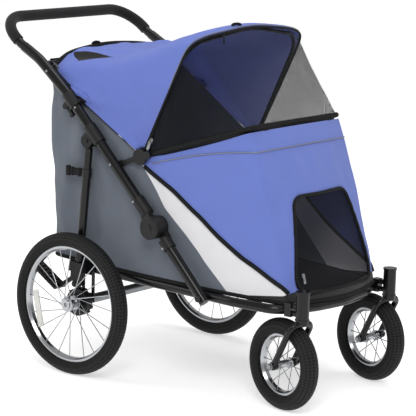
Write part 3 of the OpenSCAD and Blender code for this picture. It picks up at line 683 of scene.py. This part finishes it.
def between(line, value):
    """Reads a line given as rising (place, height) pairs at a value."""
    for (a, low), (b, high) in zip(line, line[1:]):
        if value <= b:
            break
    return low + (high - low) * (value - a) / (b - a)


def seam_z(x):
    """Height of the bound seam between the white and the blue panel."""
    return between(WHITE_SEAM, x)


def mark(piece, attribute, distance):
    """Stores a signed distance at each point of a piece, in metres, for its material to read."""
    layer = piece.data.attributes.new(attribute, "FLOAT", "POINT")
    layer.data.foreach_set("value", [distance(*in_mm(v.co)) / 1000 for v in piece.data.vertices])


mark(cabin, "white_panel", lambda x, y, z: seam_z(x) - z)
mark(cabin, "grey_panel", lambda x, y, z: between(GREY_SEAM, z) - x)
mark(cabin, "black_band", lambda x, y, z: bottom_z(x) + between(FOOT_BAND, min(x, FOOT_BAND[-1][0])) - z)


def slack(p):
    """How freely the cabin's cloth moves: not at its edges, most between them."""
    x, y, z = in_mm(p)
    top = tube_z(x) if x < PIVOT[0] else rim_z(x)
    off_door = clamped(-inside_door(y, z) / 40) if x > FRONT else 1
    return clamped((z - bottom_z(x)) / 90) * clamped((top - z) / 90) * off_door


def rear_slack(p):
    """The rear panels hang loose, in upright waves; the front ones are pulled tight."""
    return slack(p) * max(0.12, clamped((330 - in_mm(p)[0]) / 330))


fold(cabin, 0.0028, 0.12, (1, 1, 0.5), slack)
fold(cabin, 0.002, 0.05, (1, 1, 0.5), slack)
fold(cabin, 0.012, 0.06, (1, 1, 0.4), rear_slack)
thicken(cabin, 0.002, cabin_cloth)
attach(cabin, "base")
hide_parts("cabin_tub", "cabin_upper")
thicken(door_net, 0.0008, net)
door_shift = at(-2.2, 0, 0) - at(0, 0, 0)  # the net lies just behind the bound edge
for vert in door_net.data.vertices:
    vert.co += door_shift
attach(door_net, "base")
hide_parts("door_mesh")
print("cabin", len(cabin.data.polygons), "faces")

# %% [markdown]
# ### Tapes on the cabin
# Each raw edge is bound. To lay a tape on the cloth we look up the cabin's own surface for every
# point of the line and lift the point off it by a millimetre or so.

# %% Cabin tapes
SIDES = ((-1, "right", "r"), (1, "left", "l"))
LIFT, PIPING_LIFT = 0.0006, 0.0018
finder = BVHTree.FromPolygons([v.co for v in cabin.data.vertices], [p.vertices[:] for p in cabin.data.polygons])
tub_middle = at(150, 0, 500)


def on_cloth(p):
    """The nearest point of the cabin, lifted off its outside."""
    spot, normal, _, _ = finder.find_nearest(p)
    raised = spot + normal * LIFT
    outside = (raised - tub_middle).length > (spot - tub_middle).length
    return raised if outside else spot - normal * LIFT


def on_side(x, z, side):
    """The point of the side panel at a length and a height."""
    spot = finder.ray_cast(at(x, side * 400, z), Vector((0, -side, 0)))[0]
    return spot + Vector((0, side * LIFT, 0))


def face_x(z):
    """Length of the slanted front face at a height."""
    return 522 + (720 - z) * 0.405


def round_front(x, y, z):
    """The cabin's outer point in the direction of (x, y) from the middle of the tub, at a height."""
    middle = at(300, 0, z)
    way = (at(x, y, z) - middle).normalized()
    return finder.ray_cast(middle + way, -way)[0] + way * PIPING_LIFT


door_line = [on_cloth(at(face_x(z) + 8, y, z)) for y, z in door_ring(72, -1)]
cabin_tapes = [tape_along("door_tape", door_line, 0.009, tape, None, closed=True)]
for side, word, _ in SIDES:
    seam = [on_side(x, seam_z(x), side) for x in range(200, 652, 12)]
    cabin_tapes.append(tape_along("seam_tape_" + word, seam, 0.012, tape, None))

piping_half = [(227, 250, 606), (260, 249, 617), (300, 247, 627), (350, 241, 640), (400, 233, 650),
               (470, 216, 661), (500, 208, 665), (515, 195, 666), (528, 160, 668), (540, 90, 670),
               (543, 40, 671)]
piping_round = [(x, -y, z) for x, y, z in piping_half] + list(reversed(piping_half))
STEPS = 5
piping_line = []
for start, end in zip(piping_round, piping_round[1:]):
    for step in range(STEPS):
        piping_line.append(round_front(*(a + (b - a) * step / STEPS for a, b in zip(start, end))))
cabin_tapes.append(tape_along("reflective_piping", piping_line, 0.003, piping, None))
foot_half = [(x, y, bottom_z(x) + 1) for x, y in half_bottom]
foot_line = [on_cloth(at(x, y, z)) for x, y, z in foot_half]
foot_line += [on_cloth(at(x, -y, z)) for x, y, z in reversed(foot_half[1:-1])]
cabin_tapes.append(tape_along("foot_tape", foot_line, 0.011, tape, None, closed=True))
rear_edge = [at(-158, y, REAR_TOP + 0.5) for y in range(-235, 236, 47)]
cabin_tapes.append(tape_along("rear_edge_tape", rear_edge, 0.008, tape, None))
for piece in cabin_tapes:
    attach(piece, "base")
for piece in [cabin, door_net] + cabin_tapes:
    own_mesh(piece)
print("tapes on the cabin:", len(cabin_tapes))

# %% [markdown]
# ### Canopy
# The canopy is one sheet that fans out from the pivot: each of its ribs is an arch in a plane
# through the pivot line. The first arch is the hoop. Behind it the sheet sags, then rises to the
# bar between the tubes.

# %% Canopy sheet
HOOP_TILT = math.radians(65.5)
CROWN, CORNER = 27, 58  # how far the top of an arch rises, and how wide its corners are
ROOF = 800  # above this height the sheet is roof, and below it side


def on_fan(r, angle, y):
    """A point at a distance and an angle round the pivot line."""
    return at(PIVOT[0] + r * math.cos(angle), y, PIVOT[1] + r * math.sin(angle))


def both_halves(points, reach):
    """A whole arch from one half's (distance, width) points, with its top at reach."""
    return [(r, -y) for r, y in points] + [(reach, 0.0)] + [(r, y) for r, y in reversed(points)]


def arch(angle, reach, half, top_angle=None):
    """Points of one arch, from the right foot over the top to the left foot."""
    side = reach - 40
    points = [(r, half) for r in (24, side * 0.3, side * 0.6, side - CORNER)]
    points += [(side - CORNER * 0.28, half - CORNER * 0.05), (side + 4, half - CORNER * 0.3),
               (reach - 34 + CROWN * 0.3, half - CORNER * 0.72), (reach - CROWN * 0.62, half - CORNER * 1.35),
               (reach - CROWN * 0.42, half * 0.5), (reach - CROWN * 0.1, half * 0.22)]
    placed = []
    for r, y in both_halves(points, reach):
        inward = clamped((half - abs(y)) / (half * 0.35))
        placed.append(on_fan(r, math.radians(angle + ((top_angle or angle) - angle) * inward), y))
    return placed


canopy_ribs = [
    (64.3, 383, 255), (65.4, 384.5, 255.5), (67, 384, 255), (70, 376, 253), (76, 352, 250), (83, 330, 249),
    (93, 304, 248), (105, 297, 248), (117.6, 299, 248), (129, 334, 249, 128.5), (137.5, 380, 250, 135.5),
    (142.4, 406, 251.5, 139.5), (146, 420, 253, 142), (148.2, 427, 254, 143.3), (149.6, 428, 254.5, 144),
    (149.7, 428, 254.5, 144.3), (149.8, 409, 252.5, 147),
]
canopy = cloth_grid("canopy_cloth", [arch(*rib) for rib in canopy_ribs], 3)
hoop_forward = Vector((math.sin(HOOP_TILT), 0, -math.cos(HOOP_TILT)))
at_hoop = at(PIVOT[0], 0, PIVOT[1])


def behind_hoop(p):
    """How far behind the hoop's plane a point lies, in metres."""
    return (at_hoop - Vector((p.x, 0, p.z))).dot(hoop_forward)


def loose(p):
    """The canopy is tight at the hoop and slack towards the rear corner."""
    return clamped(behind_hoop(p) / 0.07) * (0.45 + clamped((behind_hoop(p) - 0.2) / 0.15))


fold(canopy, 0.0045, 0.11, (0.5, 1, 1), loose)
fold(canopy, 0.002, 0.04, (0.6, 1, 1), loose)
print("canopy", len(canopy.data.polygons), "faces")

# %% [markdown]
# Near each rear corner the cloth gathers into a pleat, and on the right a long slit gapes, whose
# upper lip puffs up over the inside, where painted shade darkens the sheet. Both are soft moves of
# the sheet's own points, so they are made before it gets its thickness.


# %% Pleats and slit
def bell(off, width):
    """1 on a line and nearly nothing two widths away from it."""
    return math.exp(-((off / width) ** 2))


for vert in canopy.data.vertices:
    x, y, z = in_mm(vert.co)
    run = (x + 115) / 160
    for side in (-1, 1):
        off = (side * y - 205 - run * 20) * 0.7 + (z - 835 + run * 60) * 0.7
        if -0.2 < run < 1.2:
            pleat = 0.009 * bell(off, 9) - 0.004 * bell(off + 17, 8) * clamped((z - 822) / 12)
            vert.co += vert.normal * pleat * math.sin(math.pi * (run + 0.2) / 1.4)


def vent(x, y):
    """How far inside the gaping slit a point lies: a long triangle beside the rear corner."""
    top_lip = -191.5 - y
    short_edge = y + 192 + 36 * (x + 115) / 51
    long_edge = y + 228 - 37 * (x + 64) / 101
    return min(top_lip, short_edge, long_edge)


for vert in canopy.data.vertices:
    x, y, z = in_mm(vert.co)
    share = (x + 125) / 165
    if 0 < share < 1 and z > ROOF and y < -100:
        puff = math.exp(-max(0, y + 191) / 38) * clamped((y + 200) / 9)
        vert.co.z += (0.011 * puff - 0.004 * clamped(vent(x, y) / 6)) * math.sin(math.pi * share**0.6)
# The slit's triangle is marked for the painted shade that fills it.
mark(canopy, "painted_slit_shade", lambda x, y, z: vent(x, y) if z > ROOF else -30)
thicken(canopy, 0.0018, canopy_cloth, lining)
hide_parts("canopy")
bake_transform(canopy)
print("canopy with its lining", len(canopy.data.polygons), "faces")

# %% [markdown]
# Tapes bind the canopy's edges too, and a line of reflective piping follows the hoop. The arches
# that made the sheet give their lines as well, a few millimetres further out.

# %% Canopy tapes
front_tape = tape_along("hoop_tape", arch(64.1, 382.5, 255), 0.0065, tape, "hoop")
rear_arch = arch(148.6, 429.5, 255, 143.5)
for side, word, _ in SIDES:
    edge = [on_fan(r, math.radians(149.7), side * 254.5) for r in range(30, 380, 30)]
    tape_along("canopy_side_tape_" + word, edge, 0.0028, tape, "upper_frame")
tape_along("canopy_back_tape", rear_arch[2:-2], 0.015, tape, "upper_frame")
hoop_piping = tape_along("hoop_piping", arch(64.9, 386, 256.2)[2:-2], 0.0025, piping, "hoop")

# %% [markdown]
# ### Mesh screen
# The screen closes the space between the hoop and the rim. It is sewn to both, so its rows run from
# one to the other, and it is pulled nearly straight.


# %% Mesh screen
def mix_arch(t):
    """An arch between the hoop (t = 0) and the rim (t = 1)."""
    a1, a2 = math.radians(64.0), math.radians(18.5)  # the slopes of hoop and rim
    r1, r2 = 377.0, 338.0  # how far each reaches from the pivot
    a = a1 + (a2 - a1) * t
    reach = r1 * r2 * math.sin(a1 - a2) / (r1 * math.sin(a1 - a) + r2 * math.sin(a - a2))
    half = 248 - 40 * t  # half its width at the corners
    setback = 40 - 36 * t  # how far its corners lie back from its top
    points = [(26, 248), (reach * 0.3, 249), ((reach - setback) * 0.55, 249 - 12 * t),
              (reach - setback - 58, half + 7 * t), (reach - setback - 18, half - 3),
              (reach - setback + 3, half - 18), (reach - setback * 0.55, half - 44),
              (reach - setback * 0.42, half - 76), (reach - setback * 0.28, half * 0.5),
              (reach - setback * 0.07, half * 0.22)]
    return [on_fan(r, a, y) for r, y in both_halves(points, reach)]


screen = cloth_grid("mesh_screen_net", [mix_arch(t / 8) for t in range(9)], 2)
fold(screen, 0.002, 0.09)
thicken(screen, 0.0007, net)
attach(screen, "upper_frame")
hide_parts("mesh_screen")
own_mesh(screen)
rim_tape = tape_along("rim_tape", mix_arch(1.0), 0.014, tape, "upper_frame")
print("screen", len(screen.data.polygons), "faces")

# %% [markdown]
# ## Small fittings
# Rivets, zip pullers, tape loops, the rolled strap, hub rings, nuts and spoke reflectors are small,
# but they tell the eye how large the rest is. The metal and plastic ones are made from bmesh shapes
# that are bevelled and then moved to their place in their mesh.


# %% Fitting helpers
def into_scene(name, mesh, material, body):
    """Makes a finished bmesh an object that rides on a body."""
    bmesh.ops.recalc_face_normals(mesh, faces=mesh.faces)
    piece = new_object(name, bpy.data.meshes.new(name))
    mesh.to_mesh(piece.data)
    mesh.free()
    piece.data.materials.append(material)
    smooth_shaded(piece)
    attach(piece, body)
    return piece


def soften(mesh, size):
    """Rounds every edge of a bmesh."""
    bmesh.ops.bevel(mesh, geom=mesh.edges[:], offset=size, segments=2, affect="EDGES", profile=0.5, material=-1)


def facing(direction, place):
    """A transform that takes +Z to a direction, at a place."""
    return Matrix.Translation(place) @ Vector(direction).to_track_quat("Z", "Y").to_matrix().to_4x4()


def softened_blocks(name, parts, material, body, bevel=0.0006):
    """A fitting made of softened blocks. parts are (size, transform) pairs."""
    mesh = bmesh.new()
    for size, transform in parts:
        bmesh.ops.create_cube(mesh, size=1, matrix=transform @ Matrix.Diagonal((*size, 1)))
    soften(mesh, bevel)
    return into_scene(name, mesh, material, body)


print("fitting helpers ready")

# %% [markdown]
# Five domed rivets run down the outer face of the tubes on each side. A truncated cone with
# softened edges is enough for a head of 8 mm.

# %% Rivets on the tubes
RIVET_RADIUS = 0.0042
# the length, the distance from the middle, the height and the body of each
RIVETS = ((-128, 286.3, 822, "upper_frame"), (-22, 286.3, 733, "upper_frame"), (108, 287.2, 592, "upper_frame"),
          (194, 290.5, 503, "upper_frame"), (299, 290.5, 392, "lower_frame"))


def rivet(name, place, direction, radius, body):
    """A domed rivet head on a tube."""
    mesh = bmesh.new()
    top = radius * 0.6
    bmesh.ops.create_cone(mesh, cap_ends=True, segments=20, radius1=radius, radius2=top, depth=top)
    soften(mesh, radius * 0.12)
    bmesh.ops.transform(mesh, matrix=facing(direction, place), verts=mesh.verts)
    return into_scene(name, mesh, zinc, body)


for side, word, _ in SIDES:
    for number, (x, y, z, body) in enumerate(RIVETS, 1):
        rivet("rivet_%s_%d" % (word, number), at(x, side * y, z), (0, side, 0), RIVET_RADIUS, body)
print("rivets", len(RIVETS) * len(SIDES))

# %% [markdown]
# A zip puller is a short tab of die-cast zinc on a slider. One hangs at the foot of the door, one at
# the canopy's pivot and a dark one under the crown of the hoop.


# %% Zip pullers
def puller(name, place, down, out_of, body, material=zinc, size=1.0):
    """A slider, its bridge and its tab, which hangs towards down on a face that looks out_of."""
    across = Vector(out_of).cross(Vector(down)).normalized()
    axes = Matrix((across, Vector(down).normalized(), Vector(out_of).normalized())).transposed().to_4x4()
    base = Matrix.Translation(place) @ axes
    parts = [((0.008 * size, 0.010 * size, 0.004), base),
             ((0.0035 * size, 0.004, 0.006), base @ Matrix.Translation((0, -0.001, 0.002))),
             ((0.0062 * size, 0.019 * size, 0.0016), base @ Matrix.Translation((0, 0.012 * size, 0.0045)))]
    return softened_blocks(name, parts, material, body)


door_normal = Vector((0.82, -0.57, 0.3)).normalized()
door_zip = puller("door_zip_puller", at(658, -150, 354), (0.25, -0.05, -1), door_normal, "base")
puller("screen_zip_puller", at(222, -253, 668), (-0.35, 0, -1), (0.1, -1, 0.05), "upper_frame", size=1.35)
under_crown = arch(63.5, 379, 255)[8] - hoop_forward * 0.002
puller("hoop_zip_puller", under_crown, (0.05, 0, -1), hoop_forward, "hoop", nylon_black)
print("zip pullers 3")

# %% [markdown]
# Two loops of narrow tape stand on the canopy: one on the hoop's crown and one on the rear edge.


# %% Tape loops
def tape_loop(name, place, across, height, body):
    """A small arch of tape, 30 mm long, standing on a seam."""
    across = Vector(across).normalized()
    up = Vector((0, 0, height))
    points = []
    for degrees in range(0, 181, 20):
        a = math.radians(degrees)
        points.append(place + across * (0.015 * math.cos(a)) + up * math.sin(a))
    piece = tape_along(name, points, 0.0075, tape, body)
    return piece


tape_loop("hoop_loop", arch(66.5, 384, 255)[9] + Vector((0, 0, 0.001)), (0.2, 1, 0), 0.004, "hoop")
tape_loop("rear_loop", rear_arch[9] + Vector((0, 0, 0.006)), (0, 1, 0), 0.005, "upper_frame")
print("tape loops 2")

# %% [markdown]
# The webbing strap that ties the folded frame hangs on the right leg, rolled up and clipped: a
# thick roll of tape, three keepers and a flat hook.

# %% Leg strap
low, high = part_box("leg_strap")
middle = (low + high) / 2
parts = []
for offset, size in (
    ((0.004, 0, 0.001), (0.046, 0.006, 0.021)),
    ((-0.022, -0.0005, 0.001), (0.013, 0.009, 0.028)),
    ((-0.006, -0.0005, 0.001), (0.005, 0.0085, 0.0245)),
    ((0.019, -0.0005, 0.001), (0.006, 0.0085, 0.0245)),
    ((0.026, 0, -0.004), (0.012, 0.0045, 0.009)),
):
    parts.append((size, Matrix.Translation(middle + Vector(offset))))
strap = softened_blocks("leg_strap_rolled", parts, tape, "legs", 0.0016)
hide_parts("leg_strap")
print("leg strap", len(parts), "parts")

# %% [markdown]
# Polished rings close the rear hubs, and hexagon nuts with washers hold the front axles in the
# forks. A ray from outside finds the face of the fork that each nut sits on.


# %% Hub rings and axle nuts
def turned(name, rings, direction, material, body):
    """Flat turned parts on one axle: (place, radius, depth, sides) each."""
    mesh = bmesh.new()
    for place, radius, depth, sides in rings:
        part = bmesh.ops.create_cone(mesh, cap_ends=True, segments=sides, radius1=radius, radius2=radius * 0.96,
                                     depth=depth)
        bmesh.ops.transform(mesh, matrix=facing(direction, place), verts=part["verts"])
    soften(mesh, 0.0005)
    return into_scene(name, mesh, material, body)


front_axle = Vector((math.sin(CASTER_YAW), math.cos(CASTER_YAW), 0))
nuts = 0
for side, word, letter in SIDES:
    hub = Vector(centre_of("wheel_r" + letter))
    outward = Vector((0, side, 0))
    rings = [(hub + outward * 0.0165, 0.021, 0.0045, 32), (hub - outward * 0.013, 0.021, 0.004, 32)]
    turned("hub_ring_" + word, rings, outward, chrome, "rear_wheel_" + letter)
    hub = Vector(centre_of("wheel_f" + letter))
    for end in (1, -1):
        away = front_axle * end
        hit, spot, _, _ = nodes["fork_" + letter].ray_cast(hub + away * 0.1, -away)
        if hit:
            washer = (spot + away * 0.0006, 0.0095, 0.0012, 28)
            nut = (spot + away * 0.0035, 0.0078, 0.005, 6)
            name = "axle_nut_%s_%s" % (word, "outer" if end == side else "inner")
            turned(name, [washer, nut], away, zinc, "caster_" + letter)
            nuts += 1
print("hub rings", len(SIDES), "axle nuts", nuts)

# %% [markdown]
# Each rear wheel carries a spoke reflector, a pale acrylic bar moulded with fine prisms about
# 2.4 mm apart, and three small clips that hold it to the spokes.

# %% Spoke reflectors
where = add(reflector_plastic, "TexCoord").outputs["Object"]
prisms = add(reflector_plastic, "TexVoronoi", Vector=where, Scale=420.0).outputs["Distance"]
plug(reflector_shader, Normal=add(reflector_plastic, "Bump", Height=prisms, Strength=0.6, Distance=0.001))
tilt = Matrix.Rotation(math.radians(-13), 4, "Y")
for side, word, letter in SIDES:
    hub = centre_of("wheel_r" + letter)
    bar = Matrix.Translation((hub[0] - 0.110, hub[1] + side * 0.013, hub[2] - 0.029)) @ tilt
    parts = [((0.02, 0.004, 0.104), bar)]
    for step in (-0.042, 0.0, 0.042):
        parts.append(((0.009, 0.003, 0.006), bar @ Matrix.Translation((0, -side * 0.0032, step))))
    name = "spoke_reflector_" + word
    softened_blocks(name, parts, reflector_plastic, "rear_wheel_" + letter, 0.0009)
print("spoke reflectors", len(SIDES))

# %% [markdown]
# ## Studio
# A plain pale floor, three round soft lamps and an even sky. The lamps are weak enough that a colour
# renders about as it is written. The floor and the sky are brighter only where they are looked at,
# so the background is pale without any more light on the stroller.

# %% Floor and light
world = bpy.data.worlds.new("studio")
bpy.context.scene.world = world
world.use_nodes = True
sight = add(world, "LightPath").outputs["Is Camera Ray"]
strength = add(world, "Math", {"operation": "MULTIPLY_ADD"}, i0=sight, i1=0.45, i2=0.55)
plug(world.node_tree.nodes["Background"], Color=(1, 1, 1, 1), Strength=strength)

floor_mesh = bmesh.new()
bmesh.ops.create_grid(floor_mesh, x_segments=2, y_segments=2, size=14)
floor = new_object("floor", bpy.data.meshes.new("floor"))
floor_mesh.to_mesh(floor.data)
floor_mesh.free()
floor_finish, floor_shader = new_material("painted_studio_floor", 0.9)
plug(floor_shader, Base_Color=linear("#f4f4f4"))
glow = add(floor_finish, "Emission", Color=(1, 1, 1, 1), Strength=0.5)
both = add(floor_finish, "AddShader", i0=floor_shader, i1=glow)
path = add(floor_finish, "LightPath").outputs
looked_at = path["Is Camera Ray"]
for ray in ("Is Glossy Ray", "Is Transmission Ray"):
    looked_at = add(floor_finish, "Math", {"operation": "MAXIMUM"}, i0=looked_at, i1=path[ray])
choose = add(floor_finish, "MixShader", Fac=looked_at, i1=floor_shader, i2=both)
plug(floor_finish.node_tree.nodes["Material Output"], Surface=choose)
floor.data.materials.append(floor_finish)


def soft_lamp(name, place, size, power):
    """A round lamp that looks at the middle of the stroller."""
    lamp = new_object(name, bpy.data.lights.new(name, "AREA"))
    lamp.data.shape = "DISK"
    lamp.data.size = size
    lamp.data.energy = power
    lamp.location = place
    lamp.rotation_euler = (Vector((0, 0, 0.45)) - Vector(place)).to_track_quat("-Z", "Y").to_euler()


soft_lamp("key", (2.6, -3.4, 3.6), 2.0, 95)
soft_lamp("fill", (-3.0, -2.6, 2.4), 2.4, 32)
soft_lamp("top", (0.3, 0.8, 4.2), 2.4, 40)
bpy.context.scene.view_settings.view_transform = "Standard"
print("studio ready")

# %% [markdown]
# ## Sheets
# The four sewn sheets are the cabin, the door net, the canopy and the mesh screen. Their cuts taper.

# %% Sheets
print("sheets 4")

# %% Finish
print("done")
